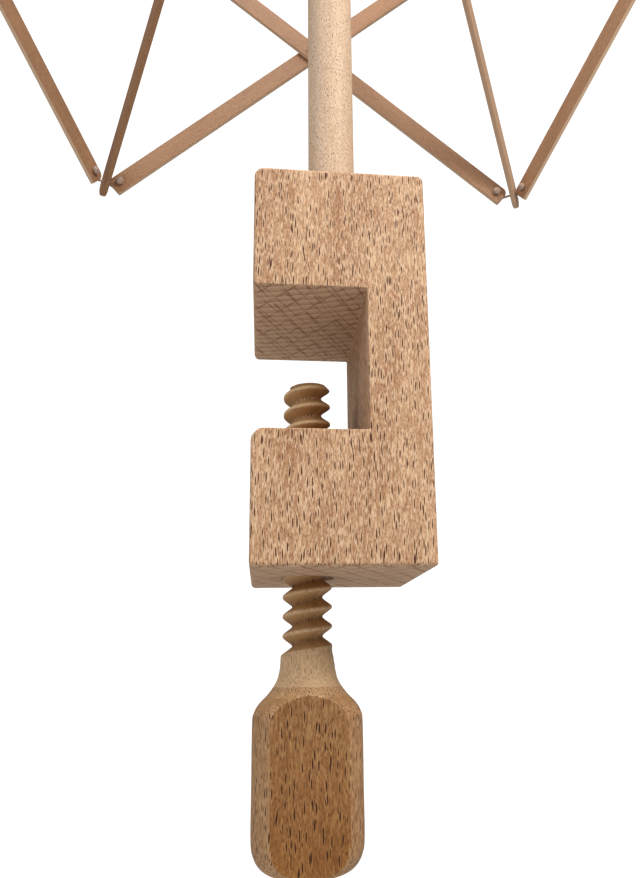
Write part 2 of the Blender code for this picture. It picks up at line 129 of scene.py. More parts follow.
beechScrew = {  # the same tan beech: heartwood on the flats, painted shade in the grooves and down the thread, and pale crests that are a painted highlight
    "pale": "#e0b88e", "deep": "#a67a50", "fleck": "#47220a", "rim": "#f6d5aa", "heart": "#a5733f",
    "edgePale": "#f2d2a6", "endPale": "#c39a68", "endDeep": "#8a5f35",
    "cell": (0.78, 6.4), "fleckShare": 1.0, "fineShare": 0.85, "toneSpan": 8.0,
    "ringGap": 5.0, "pith": (-60.0, -75.0), "roughness": 0.50, "bump": 0.10, "saw": 0.1,
}
beechSlat = {  # thin sawn strip, sanded smooth: pinkish tan with hardly a fleck, with a painted highlight on its edges and cut ends
    "pale": "#b68a68", "deep": "#966f50", "fleck": "#6f4930", "rim": "#c39a78", "heart": "#8f6139",
    # the pale colour paints the highlight along a slat's edges, and the pale end colour a painted highlight
    # on cut ends
    "edgePale": "#e2c3a4", "endPale": "#d8bca4", "endDeep": "#b08d72",
    "cell": (0.60, 4.0), "fleckShare": 0.22, "fineShare": 0.25, "toneSpan": 6.0,
    "ringGap": 6.0, "pith": (-40.0, -60.0), "roughness": 0.52, "bump": 0.05, "saw": 0.2,
}
beechTurned = {  # turned hubs, collar and cup, sanded on the lathe
    "pale": "#dcb592", "deep": "#bb9069", "fleck": "#6b4628", "rim": "#efcba5", "heart": "#9c6f48",
    "edgePale": "#ecc8a4", "endPale": "#cda684", "endDeep": "#a07a58",
    "cell": (0.80, 4.6), "fleckShare": 0.72, "fineShare": 0.40, "toneSpan": 8.0,
    "ringGap": 3.4, "pith": (-38.0, -26.0), "roughness": 0.5, "bump": 0.07, "saw": 0.15,
}


def spindles(tree, grain, wide, long, inside, outside):
    # each cell of wide x wide x long mm holds a point; 1 near it, falling to 0 between two distances
    place = addNode(tree, "Mapping", {"Scale": (1 / wide, 1 / wide, 1 / long)}, {"Vector": grain})
    cells = addNode(tree, "TexVoronoi", {"Scale": 1.0, "Randomness": 1.0},
                    {"Vector": place.outputs[0]}).outputs["Distance"]
    return ramp(tree, cells, ((inside, 1.0), (outside, 0.0))), cells


def beech(name, look):
    made = bpy.data.materials.new(name)
    made.use_nodes = True
    tree = made.node_tree
    shader = tree.nodes["Principled BSDF"]
    grain = addNode(tree, "Attribute", {"attribute_name": "grain"}).outputs["Vector"]
    isEnd = addNode(tree, "Attribute", {"attribute_name": "endGrain"}).outputs["Fac"]
    tint = addNode(tree, "Attribute", {"attribute_name": "tint"}).outputs["Fac"]

    # the fibres wander by about 1 mm over each 30 mm
    slow = addNode(tree, "Mapping", {"Scale": (0.05, 0.05, 0.03)}, {"Vector": grain}).outputs[0]
    wander = addNode(tree, "TexNoise", {"Scale": 1.0, "Detail": 2.0}, {"Vector": slow}).outputs["Color"]
    wander = addNode(tree, "VectorMath", {"operation": "MULTIPLY_ADD", 1: (3.4, 3.4, 0), 2: (-1.7, -1.7, 0)},
                     {0: wander}).outputs[0]
    bent = addNode(tree, "VectorMath", {"operation": "ADD"}, {0: grain, 1: wander}).outputs[0]

    # growth rings: cylinders about the pith, one each ringGap mm
    aboutPith = addNode(tree, "Mapping", {"Location": (-look["pith"][0], -look["pith"][1], 0),
                                          "Scale": (1, 1, 0.02)}, {"Vector": bent}).outputs[0]
    rings = addNode(tree, "TexWave", {"wave_type": "RINGS", "rings_direction": "Z", "wave_profile": "SAW",
                                      "Scale": 0.314 / look["ringGap"], "Distortion": 1.0, "Detail": 3.0,
                                      "Detail Scale": 0.6}, {"Vector": aboutPith}).outputs["Fac"]
    span = 1 / look["toneSpan"]
    tone = addNode(tree, "TexNoise", {"Scale": 1.0, "Detail": 3.0},
                   {"Vector": addNode(tree, "Mapping", {"Scale": (span, span, span * 0.2)},
                                      {"Vector": bent}).outputs[0]}).outputs["Fac"]
    fibre = addNode(tree, "TexNoise", {"Scale": 1.0, "Detail": 3.0, "Roughness": 0.55},
                    {"Vector": addNode(tree, "Mapping", {"Scale": (1.9, 1.9, 0.34)},
                                       {"Vector": bent}).outputs[0]}).outputs["Fac"]
    mix = maths(tree, "MULTIPLY_ADD", ramp(tree, tone, ((0.34, 0.0), (0.66, 1.0))), 0.34,
                maths(tree, "MULTIPLY", rings, 0.14))
    mix = maths(tree, "MULTIPLY_ADD", ramp(tree, fibre, ((0.32, 0.0), (0.68, 1.0))), 0.62, mix)
    # short grit between the fibres, about 0.35 mm by 0.8 mm
    grit = addNode(tree, "TexNoise", {"Scale": 1.0, "Detail": 1.0},
                   {"Vector": addNode(tree, "Mapping", {"Scale": (2.9, 2.9, 1.25)},
                                      {"Vector": bent}).outputs[0]}).outputs["Fac"]
    mix = maths(tree, "MULTIPLY_ADD", ramp(tree, grit, ((0.38, 0.0), (0.62, 1.0))), 0.36,
                maths(tree, "MULTIPLY", mix, 0.78))
    face = blendColours(tree, mix, linear(look["pale"]), linear(look["deep"]))

    # ray flecks: dark spindles with a light rim, and finer, fainter ones between them
    wide, long = look["cell"]
    flecks, away = spindles(tree, bent, wide, long, 0.20, 0.29)
    fine, _ = spindles(tree, bent, wide * 0.55, long * 0.42, 0.14, 0.30)
    rim = ramp(tree, away, ((0.28, 0.0), (0.35, 1.0), (0.42, 1.0), (0.52, 0.0)))
    face = blendColours(tree, maths(tree, "MULTIPLY", rim, 0.42), face, linear(look["rim"]))
    face = blendColours(tree, maths(tree, "MULTIPLY", fine, look["fineShare"]), face, linear(look["fleck"]))
    face = blendColours(tree, maths(tree, "MULTIPLY", flecks, look["fleckShare"]), face,
                        linear(look["fleck"]))

    # heartwood, with painted shade in the screw's grooves and down the screw, multiplies the colour by its
    # own; a pale colour, mostly a painted highlight on slat edges and screw crests, is blended over it
    dark = maths(tree, "MAXIMUM", tint, 0.0)
    light = maths(tree, "MAXIMUM", maths(tree, "MULTIPLY", tint, -1.0), 0.0)
    warm = [h / p for h, p in zip(linear(look["heart"]), linear(look["pale"]))][:3]
    face = blendColours(tree, dark, face, (*warm, 1.0), "MULTIPLY")
    face = blendColours(tree, light, face, linear(look["edgePale"]))

    # across the fibres: growth lines, fine pores, and a few thin saw lines 4 to 7 mm apart that slant
    # both ways and fade in and out
    pores = addNode(tree, "TexNoise", {"Scale": 3.0, "Detail": 2.0},
                    {"Vector": addNode(tree, "Mapping", {"Scale": (1, 1, 0.05)},
                                       {"Vector": grain}).outputs[0]}).outputs["Fac"]
    sawn = 0.0
    for turn, gap in ((0.52, 4.3), (-0.60, 6.4), (0.44, 7.1)):
        lines = addNode(tree, "TexWave", {"wave_type": "BANDS", "bands_direction": "X", "Scale": 0.314 / gap,
                                          "Distortion": 0.7, "Detail": 1.0, "Detail Scale": 0.4},
                        {"Vector": addNode(tree, "Mapping", {"Rotation": (0, 0, turn)},
                                           {"Vector": grain}).outputs[0]}).outputs["Fac"]
        sawn = maths(tree, "MAXIMUM", ramp(tree, lines, ((0.955, 0.0), (0.992, 1.0))), sawn)
    faded = addNode(tree, "TexNoise", {"Scale": 0.16, "Detail": 1.0}, {"Vector": grain}).outputs["Fac"]
    sawn = maths(tree, "MULTIPLY", sawn, ramp(tree, faded, ((0.36, 0.25), (0.56, 1.0))))
    endMix = maths(tree, "MULTIPLY_ADD", ramp(tree, pores, ((0.4, 0.0), (0.62, 1.0))), 0.35,
                   maths(tree, "MULTIPLY", rings, 0.50))
    endMix = maths(tree, "MULTIPLY_ADD", sawn, look["saw"], endMix)
    endFace = blendColours(tree, endMix, linear(look["endPale"]), linear(look["endDeep"]))
    tree.links.new(blendColours(tree, isEnd, face, endFace), shader.inputs["Base Color"])

    rough = maths(tree, "MULTIPLY_ADD", fibre, 0.16, look["roughness"] - 0.08)
    tree.links.new(maths(tree, "MULTIPLY_ADD", isEnd, 0.12, rough), shader.inputs["Roughness"])
    height = maths(tree, "SUBTRACT", maths(tree, "MULTIPLY", fibre, 0.6),
                   maths(tree, "MULTIPLY", flecks, 0.7))
    endHeight = maths(tree, "SUBTRACT", maths(tree, "MULTIPLY", pores, 0.5),
                      maths(tree, "MULTIPLY", sawn, look["saw"]))
    height = maths(tree, "ADD", maths(tree, "MULTIPLY", height, maths(tree, "SUBTRACT", 1.0, isEnd)),
                   maths(tree, "MULTIPLY", endHeight, isEnd))
    bump = addNode(tree, "Bump", {"Strength": look["bump"] * 4, "Distance": 0.00012}, {"Height": height})
    tree.links.new(bump.outputs[0], shader.inputs["Normal"])
    shader.inputs["IOR"].default_value = 1.5
    shader.inputs["Specular IOR Level"].default_value = 0.35
    return made


def plainWire(name):
    # bright drawn steel wire: neutral, with fine drawing lines that spread its highlight
    made = bpy.data.materials.new(name)
    made.use_nodes = True
    tree = made.node_tree
    shader = tree.nodes["Principled BSDF"]
    place = addNode(tree, "TexCoord").outputs["Object"]
    lines = addNode(tree, "TexNoise", {"Scale": 900.0, "Detail": 2.0}, {"Vector": place}).outputs["Fac"]
    tree.links.new(ramp(tree, lines, ((0.3, "#9a9a9c"), (0.7, "#c4c4c6"))), shader.inputs["Base Color"])
    tree.links.new(maths(tree, "MULTIPLY_ADD", lines, 0.2, 0.2), shader.inputs["Roughness"])
    shader.inputs["Metallic"].default_value = 1.0
    return made


def twistedCord(name):
    # waxed twine of tan cotton: matt, a little fuzz, with painted shade between its strands and a painted
    # highlight on their crowns
    made = bpy.data.materials.new(name)
    made.use_nodes = True
    tree = made.node_tree
    shader = tree.nodes["Principled BSDF"]
    place = addNode(tree, "TexCoord").outputs["Object"]
    fuzz = addNode(tree, "TexNoise", {"Scale": 2600.0, "Detail": 3.0}, {"Vector": place}).outputs["Fac"]
    crown = addNode(tree, "Attribute", {"attribute_name": "crown"}).outputs["Fac"]
    # painted shade and highlight: darker between the strands, paler on their crowns
    shade = maths(tree, "MULTIPLY_ADD", fuzz, 0.35, maths(tree, "MULTIPLY", crown, 0.7))
    tree.links.new(ramp(tree, shade, ((0.1, "#7f6350"), (0.85, "#bfa593"))), shader.inputs["Base Color"])
    bump = addNode(tree, "Bump", {"Strength": 0.5, "Distance": 0.0001}, {"Height": fuzz})
    tree.links.new(bump.outputs[0], shader.inputs["Normal"])
    shader.inputs["Roughness"].default_value = 0.7
    return made


planedBeech = beech("planed flat-sawn beech", beechBlock)
dowelBeech = beech("turned pale beech dowel", beechShaft)
steamedBeech = beech("turned steamed beech", beechScrew)
slatBeech = beech("sawn and sanded beech slat", beechSlat)
latheBeech = beech("lathe-turned beech", beechTurned)
steelWire = plainWire("bright drawn steel wire")
cottonTwine = twistedCord("waxed cotton twine")
print("materials ready")


# ---- making meshes

def newMesh(name, points, faces):
    data = bpy.data.meshes.new(name)
    data.from_pydata(np.asarray(points, float).reshape(-1, 3).tolist(), [], [tuple(f) for f in faces])
    return data


def gridFaces(rows, columns, closedRows=False, closedColumns=True, first=0):
    # quads between neighbouring rows and columns of a numbered grid
    down = np.arange(rows if closedRows else rows - 1)
    over = np.arange(columns if closedColumns else columns - 1)
    r, c = np.meshgrid(down, over, indexing="ij")
    r2, c2 = (r + 1) % rows, (c + 1) % columns
    quads = np.stack([r * columns + c, r * columns + c2, r2 * columns + c2, r2 * columns + c], -1)
    return (quads.reshape(-1, 4) + first).tolist()


def solidFrom(name, points, faces, cutters=(), sharp=38.0):
    # one closed shell: doubles merged, faces outward, cutters taken away, shading weighted by area
    data = newMesh(name, points, faces)
    bm = bmesh.new()
    bm.from_mesh(data)
    bmesh.ops.remove_doubles(bm, verts=bm.verts, dist=1e-7)
    bmesh.ops.recalc_face_normals(bm, faces=bm.faces)
    bm.to_mesh(data)
    bm.free()
    piece = bpy.data.objects.new(name, data)
    bpy.context.scene.collection.objects.link(piece)
    for index, tool in enumerate(cutters):
        step = piece.modifiers.new("cut%d" % index, "BOOLEAN")
        step.operation, step.solver, step.object = "DIFFERENCE", "EXACT", tool
    if cutters:
        bpy.context.view_layer.update()
        shaped = bpy.data.meshes.new_from_object(piece.evaluated_get(bpy.context.evaluated_depsgraph_get()))
        piece.modifiers.clear()
        piece.data = shaped
        for tool in cutters:
            bpy.data.objects.remove(tool)
    piece.data.name = name
    piece.data.shade_smooth()
    piece.data.set_sharp_from_angle(angle=math.radians(sharp))
    step = piece.modifiers.new("evenShading", "WEIGHTED_NORMAL")
    step.keep_sharp = True
    bpy.context.view_layer.update()
    shaded = bpy.data.meshes.new_from_object(piece.evaluated_get(bpy.context.evaluated_depsgraph_get()))
    piece.modifiers.clear()
    piece.data = shaded
    shaded.name = name
    return piece


def pointsOf(mesh):
    flat = np.empty(len(mesh.vertices) * 3)
    mesh.vertices.foreach_get("co", flat)
    return flat.reshape(-1, 3)


def woodGrain(piece, origin, fibres, side, shift, tint=0.0):
    # grain = the point in mm from origin, along side, across, and along the fibres, plus a shift;
    # tint is a number, or a function of face centres and normals
    z = np.array(fibres, float) / np.linalg.norm(fibres)
    x = np.array(side, float) - z * np.dot(side, z)
    x /= np.linalg.norm(x)
    turn = np.stack([x, np.cross(z, x), z], 1)
    mesh = piece.data
    local = (pointsOf(mesh) - np.array(origin)) @ turn * 1000 + np.array(shift)
    layer = mesh.attributes.new("grain", "FLOAT_VECTOR", "POINT")
    layer.data.foreach_set("vector", local.astype(np.float32).ravel())
    normals = np.empty(len(mesh.polygons) * 3)
    mesh.polygons.foreach_get("normal", normals)
    normals = normals.reshape(-1, 3)
    across = np.abs(normals @ z)
    ends = mesh.attributes.new("endGrain", "FLOAT", "FACE")
    ends.data.foreach_set("value", np.clip((across - 0.55) / 0.3, 0, 1).astype(np.float32))
    if callable(tint):
        centres = np.empty(len(mesh.polygons) * 3)
        mesh.polygons.foreach_get("center", centres)
        tint = tint(centres.reshape(-1, 3), normals)
    shade = mesh.attributes.new("tint", "FLOAT", "FACE")
    shade.data.foreach_set("value", (np.zeros(len(mesh.polygons)) + tint).astype(np.float32))


def settle(piece, body, material, slotName, *nodes):
    piece.data.materials.clear()
    piece.data.materials.append(material)
    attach(piece, body)
    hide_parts(*nodes)
    return piece


def turned(profile, sides, centre=(0, 0, 0), closed=False):
    # each (radius, height) of the profile is carried round the Z axis
    profile = np.array(profile, float)
    angle = np.arange(sides) * 2 * math.pi / sides
    x = profile[:, :1] * np.cos(angle) + centre[0]
    y = profile[:, :1] * np.sin(angle) + centre[1]
    z = np.repeat(profile[:, 1:], sides, 1) + centre[2]
    points = np.stack([x, y, z], -1).reshape(-1, 3)
    faces = gridFaces(len(profile), sides, closedRows=closed)
    if not closed:
        faces.append(list(range(sides))[::-1])
        faces.append([(len(profile) - 1) * sides + i for i in range(sides)])
    return points, faces


def roundedProfile(corners, steps=5):
    # corners are (radius, height, rounding); each corner becomes an arc of that rounding
    return roundedOutline([(c[0], c[1]) for c in corners], [c[2] for c in corners], steps)


def roundedOutline(corners, roundings, steps=5):
    # at each corner the arc touches both sides: it starts rounding / tan(half angle) before the corner
    found = []
    count = len(corners)
    for i in range(count):
        here = np.array(corners[i], float)
        back = np.array(corners[i - 1], float) - here
        ahead = np.array(corners[(i + 1) % count], float) - here
        back, ahead = back / np.linalg.norm(back), ahead / np.linalg.norm(ahead)
        radius = roundings[i]
        opening = math.acos(np.clip(np.dot(back, ahead), -1, 1))
        if radius <= 0 or opening > 3.1:
            found.append(here)
            continue
        reach = radius / math.tan(opening / 2)
        middle = here + (back + ahead) / np.linalg.norm(back + ahead) * radius / math.sin(opening / 2)
        start, end = here + back * reach - middle, here + ahead * reach - middle
        sweep = math.pi - opening
        for s in range(steps + 1):
            t = s / steps
            found.append(middle + (start * math.sin((1 - t) * sweep) + end * math.sin(t * sweep))
                         / math.sin(sweep))
    return np.array(found)


def softPlate(outline, holes, half, rounding, steps=3):
    # the outline is pulled in by rounding * (1 - sin t) as the edge turns from face to side
    outline = np.array(outline)
    rounding = np.zeros(len(outline)) + rounding
    ahead = np.roll(outline, -1, 0) - outline
    ahead /= np.linalg.norm(ahead, axis=1)[:, None]
    behind = np.roll(ahead, 1, 0)
    area = np.sum(outline[:, 0] * np.roll(outline[:, 1], -1) - np.roll(outline[:, 0], -1) * outline[:, 1])
    sign = 1 if area > 0 else -1
    normalA = np.stack([ahead[:, 1], -ahead[:, 0]], 1) * sign
    normalB = np.stack([behind[:, 1], -behind[:, 0]], 1) * sign
    mitre = (normalA + normalB) / (1 + np.sum(normalA * normalB, 1))[:, None]
    turn = np.linspace(0, math.pi / 2, steps + 1)
    inset = (1 - np.sin(turn))[:, None] * rounding
    level = -half + (1 - np.cos(turn))[:, None] * rounding
    inset, level = np.concatenate([inset, inset[::-1]]), np.concatenate([level, -level[::-1]])
    flat = outline[None] - mitre[None] * inset[..., None]
    rows, columns = len(inset), len(outline)
    points = np.stack([flat[..., 0], level, flat[..., 1]], -1).reshape(-1, 3)
    faces = gridFaces(rows, columns)
    total = len(points)
    loops = [flat[0]] + [np.array(h) for h in holes]
    fill = tessellate_polygon([[Vector((p[0], p[1], 0)) for p in loop] for loop in loops])
    extra = [points]
    lowOf, highOf = list(range(columns)), list(range((rows - 1) * columns, rows * columns))
    for loop in loops[1:]:
        low = np.stack([loop[:, 0], np.full(len(loop), -half), loop[:, 1]], 1)
        extra += [low, low * (1, -1, 1)]
        count = len(loop)
        lowOf += list(range(total, total + count))
        highOf += list(range(total + count, total + 2 * count))
        faces += gridFaces(2, count, first=total)
        total += 2 * count
    faces += [[lowOf[i] for i in t] for t in fill]
    faces += [[highOf[i] for i in t][::-1] for t in fill]
    return np.concatenate(extra), faces


def placed(points, origin, along, normal):
    # local Z runs along, local Y is the normal, local X finishes the frame
    z = np.array(along, float) / np.linalg.norm(along)
    y = np.array(normal, float) - z * np.dot(normal, z)
    y /= np.linalg.norm(y)
    return points @ np.stack([np.cross(y, z), y, z]) + np.array(origin), (np.cross(y, z), y, z)


def ring(radius, count, centre=(0.0, 0.0)):
    turn = np.arange(count) * 2 * math.pi / count
    return np.stack([centre[0] + radius * np.cos(turn), centre[1] + radius * np.sin(turn)], 1)


def smoothPath(points, steps):
    # Catmull-Rom: each span leaves and reaches its ends along the line between their neighbours
    p = np.array(points, float)
    p = np.concatenate([[2 * p[0] - p[1]], p, [2 * p[-1] - p[-2]]])
    a, b, c, d = p[:-3, None], p[1:-2, None], p[2:-1, None], p[3:, None]
    t = (np.arange(steps) / steps)[None, :, None]
    spans = 0.5 * (2 * b + (c - a) * t + (2 * a - 5 * b + 4 * c - d) * t**2 + (3 * b - a - 3 * c + d) * t**3)
    return np.concatenate([spans.reshape(-1, p.shape[1]), p[-2:-1]])


# ---- clamp block

block = {
    "edge": 1.1 * mm, "mouthEdge": 0.35 * mm,  # roundings of the long edges
    "corners": (3.0 * mm, 2.0 * mm, 1.3 * mm, 1.5 * mm, 3.6 * mm, 0.5 * mm, 0.5 * mm, 1.7 * mm),
    "mouthDepth": 35.0 * mm, "jawGap": 45.5 * mm,
    "socket": 8.45 * mm, "shaftFoot": 12.5 * mm,
    "holeSides": 72, "holeStep": 0.45 * mm, "overrun": 7 * mm, "leadIn": 0.5 * mm,  # of the threaded hole
}
screw = {
    "outer": 7.75 * mm, "root": 4.8 * mm, "pitch": 6.0 * mm, "crestAt": 0.188, "clear": 0.4 * mm,
    "top": -22.0 * mm, "runOut": -0.6 * mm, "neckTop": -110.0 * mm, "flat": 12.3 * mm, "flatEase": 0.12 * mm,
    "flatDrop": 4 * mm, "neck": 8.3 * mm, "swell": 2.4 * mm, "tip": 6.4 * mm, "footTop": -163.0 * mm,
    "profile": ((-110.0, 8.3), (-114.0, 8.6), (-117.5, 9.6), (-121.0, 12.0), (-124.0, 14.9), (-126.5, 16.3),
                (-130.0, 16.8), (-148.0, 16.8), (-162.0, 16.8), (-166.5, 16.1), (-169.6, 14.2),
                (-171.4, 11.0), (-172.0, 6.5)),
}
# shares of darkening on the screw, heartwood on the flats and painted shade in the groove and further down,
# negative for paler, a painted highlight on the crest; the Low ones come in by degrees further down
screwTint = {"crest": -0.75, "groove": 0.15, "grooveLow": 0.55, "crestLow": 0.35,
             "flat": 0.75, "flatLow": 0.25, "neck": -0.4, "strip": 0.4}
screwAxis = jointAt("screw_turn")[:2]


def threadParts(angle, z):
    # turns counts pitches along the helix; part runs from 0 in the groove to 1 on the crest as a triangle
    # wave with eased tips, and level is the height of the nearest groove's middle
    turns = z / screw["pitch"] - angle / (2 * math.pi) - screw["crestAt"]
    whole = np.floor(turns)
    part = np.clip((np.abs(2 * (turns - whole) - 1) - 0.10) / 0.78, 0, 1)
    part = 0.75 * part + 0.25 * part * part * (3 - 2 * part)
    level = (whole + 0.5 + angle / (2 * math.pi) + screw["crestAt"]) * screw["pitch"]
    return part, level


def threadRadius(angle, z, grow=0.0):
    part, _ = threadParts(angle, z)
    return screw["root"] + grow + (screw["outer"] - screw["root"]) * part


def makeBlock():
    low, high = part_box("clamp_block")
    left, bottom, back = low[0], low[2], high[1]
    right, top = high[0], high[2]
    inner = left + block["mouthDepth"]
    corners = [(left, top), (right, top), (right, bottom), (left, bottom), (left, -block["jawGap"]),
               (inner, -block["jawGap"]), (inner, 0.0), (left, 0.0)]
    outline = roundedOutline(corners, block["corners"])
    ease = 0.6 * mm
    inMouth = ((outline[:, 0] < inner + ease) & (outline[:, 1] < ease)
               & (outline[:, 1] > -block["jawGap"] - ease))
    points, faces = softPlate(outline, [], back, np.where(inMouth, block["mouthEdge"], block["edge"]), 5)
    socketPoints, socketFaces = turned([(block["socket"], block["shaftFoot"] - 0.3 * mm),
                                        (block["socket"], top + 5 * mm)], 64)
    socket = solidFrom("socketCut", socketPoints, socketFaces)
    sides = block["holeSides"]
    start, stop = bottom - block["overrun"], -block["jawGap"] + block["overrun"]
    z = np.arange(start, stop, block["holeStep"])[:, None]
    angle = (np.arange(sides) * 2 * math.pi / sides)[None]
    r = threadRadius(angle, z, screw["clear"])
    # a slight lead-in chamfer at both mouths of the hole
    mouth = np.minimum(np.abs(z - bottom), np.abs(z + block["jawGap"]))
    r = np.maximum(r, screw["outer"] + screw["clear"] + block["leadIn"] - mouth)
    around = np.stack([screwAxis[0] + r * np.cos(angle), screwAxis[1] + r * np.sin(angle),
                       z + 0 * angle], -1)
    wallFaces = gridFaces(len(z), sides)
    wallFaces.append(list(range(sides))[::-1])
    wallFaces.append([(len(z) - 1) * sides + i for i in range(sides)])
    hole = solidFrom("threadCut", around, wallFaces)
    piece = solidFrom("clampBlock", points, faces, [socket, hole])
    woodGrain(piece, (0, 0, 0), (0.02, 0, 1), (1, 0, 0), (0, 0, 0))
    return settle(piece, "clamp", planedBeech, "planed_beech_block", "clamp_block")


makeBlock()
print("clamp block ready")


# ---- clamp screw and handle, one surface: the radius is a function of the angle and the height

def makeScrew():
    sides = 192
    threadRows = np.arange(screw["top"], screw["neckTop"], -0.30 * mm)
    profile = smoothPath(np.array(screw["profile"]) * mm, 8)
    foot = profile[profile[:, 0] < screw["footTop"]][:, 0]  # the rounded end, in rows that follow its curve
    handleRows = np.concatenate([np.arange(screw["neckTop"], screw["footTop"], -0.5 * mm),
                                 np.interp(np.linspace(0, 1, 34), np.linspace(0, 1, len(foot)), foot)])
    rows = np.concatenate([threadRows, handleRows])
    z = rows[:, None]
    angle = (np.arange(sides) * 2 * math.pi / sides)[None]
    order = np.argsort(profile[:, 0])
    turnedRadius = np.interp(rows, profile[order, 0], profile[order, 1])[:, None]
    # above the neck the blank is as wide as the crest; the groove runs out in just over half a turn
    neck = screw["neckTop"]
    swell = screw["swell"]
    blank = np.where(z > neck + swell, screw["outer"], screw["outer"] + (screw["neck"] - screw["outer"])
                     * np.clip((neck + swell - z) / swell, 0, 1) ** 2)
    blank = np.where(z >= neck, blank, turnedRadius)
    part, level = threadParts(angle, z)
    fade = np.clip((level - (neck + screw["runOut"])) / (screw["pitch"] * 0.62), 0, 1)
    fade = fade * fade * (3 - 2 * fade)
    r = blank - (blank - screw["root"]) * (1 - part) * fade
    r = np.minimum(r, screw["tip"] + (screw["top"] - z) * 0.9)  # chamfered tip
    x, y = r * np.cos(angle), r * np.sin(angle)
    # the flats: |y| is held under the flat's distance, and the change is eased over flatEase
    size = np.abs(y)
    ease, flat = screw["flatEase"], screw["flat"]
    gap = np.clip((flat - size) / ease, -1, 1)
    held = np.minimum(size, flat) - ease * 0.25 * (1 - np.abs(gap)) ** 2
    y = np.where(z < neck - screw["flatDrop"], np.sign(y) * held, y)
    points = np.stack([x + screwAxis[0], y + screwAxis[1], z + 0 * x], -1).reshape(-1, 3)
    faces = gridFaces(len(rows), sides)
    tip, end = len(points), len(points) + 1
    points = np.concatenate([points, [(*screwAxis, screw["top"]), (*screwAxis, rows[-1] - 0.05 * mm)]])
    last = (len(rows) - 1) * sides
    faces += [(tip, i, (i + 1) % sides) for i in range(sides)]
    faces += [(end, last + (i + 1) % sides, last + i) for i in range(sides)]
    piece = solidFrom("clampScrew", points, faces, sharp=60)

    def darker(centres, normals):
        # paler on the thread's crest (a painted highlight) and on the neck; painted shade in the groove,
        # heartwood on the two flats
        away = np.hypot(centres[:, 0] - screwAxis[0], centres[:, 1] - screwAxis[1])
        groove = np.clip((screw["outer"] - away) / (screw["outer"] - screw["root"]), 0, 1)
        inThread = centres[:, 2] > screw["neckTop"] + 2 * mm
        onFlat = (np.abs(normals[:, 1]) > 0.985) & (centres[:, 2] < screw["neckTop"] - 8 * mm)
        onStrip = (centres[:, 2] < screw["neckTop"] - 12 * mm) & ~onFlat
        lower = np.clip((-60 * mm - centres[:, 2]) / (30 * mm), 0, 1)  # painted shade: browner towards the handle
        inNeck = centres[:, 2] > screw["neckTop"] - 9 * mm
        # painted shade: the flats darken further down
        down = np.clip((screw["neckTop"] - 16 * mm - centres[:, 2]) / (40 * mm), 0, 1)
        t = screwTint
        thread = ((t["groove"] + t["grooveLow"] * lower) * groove
                  + (t["crest"] + t["crestLow"] * lower) * (1 - groove) ** 2)
        return np.where(inThread, thread,
                        np.where(onFlat, t["flat"] + t["flatLow"] * down,
                                 np.where(inNeck, t["neck"], np.where(onStrip, t["strip"], 0.0))))

    woodGrain(piece, (*screwAxis, 0), (0.01, 0, 1), (1, 0.2, 0), (31, 7, 140), darker)
    return settle(piece, "clamp_screw", steamedBeech, "threaded_beech", "clamp_screw", "screw_tip")


makeScrew()
print("clamp screw ready")


# ---- main shaft

def makeShaft():
    low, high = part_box("main_shaft")
    radius = (high[0] - low[0]) / 2
    profile = roundedProfile([(0.0005, low[2], 0), (radius, low[2], 0.8 * mm), (radius, high[2], 0.8 * mm),
                              (0.0005, high[2], 0)], 4)
    heights = np.linspace(low[2] + 2 * mm, high[2] - 2 * mm, 120)
    split = np.argmax(profile[:, 1] > 0.1)
    profile = np.concatenate([profile[:split], np.stack([np.full(120, radius), heights], 1), profile[split:]])
    points, faces = turned(profile, 96)
    piece = solidFrom("mainShaft", points, faces)
    woodGrain(piece, (0, 0, 0), (0.012, 0.006, 1), (1, 0, 0), (5, 60, 300))
    return settle(piece, "clamp", dowelBeech, "turned_pale_beech", "main_shaft")


makeShaft()
print("main shaft ready")


# ---- outer slats and spokes

slat = {"length": 355.0 * mm, "half": 6.5 * mm, "thick": 3.0 * mm, "over": 6.5 * mm, "corner": 0.9 * mm,
        "clip": 4.4 * mm, "edge": 0.45 * mm, "hole": 1.5 * mm,
        "tints": (0.10, 0.0, 0.05, -0.08, 0.12, 0.02)}
spoke = {"half": 6.5 * mm, "thick": 3.4 * mm, "over": 10.0 * mm, "edge": 0.6 * mm, "wireHole": 1.35 * mm,
         "side": 1.9 * mm, "tints": (-0.45, 0.45, 0.3, 0.1, 0.4, 0.2)}
arms = 6
lowerZ, upperZ = jointAt("tie_low_1_turn")[2], jointAt("tie_high_1_turn")[2]
openAngle = math.acos((upperZ - lowerZ) / slat["length"])
upward = np.array((0.0, 0.0, 1.0))


def stripShape(low, high, corners, half, thick, edge, holes):
    # corners are the roundings of (+X, low), (+X, high), (-X, high) and (-X, low)
    outline = roundedOutline([(half, low), (half, high), (-half, high), (-half, low)], corners, 7)
    # extra points along the sides, so that the pattern and shading follow the strip
    dense = []
    for here, ahead in zip(outline, np.roll(outline, -1, 0)):
        steps = max(1, int(np.linalg.norm(ahead - here) / (12 * mm)))
        dense += [here + (ahead - here) * s / steps for s in range(steps)]
    return softPlate(dense, [ring(r, 20, (0, z)) for z, r in holes], thick / 2, edge)


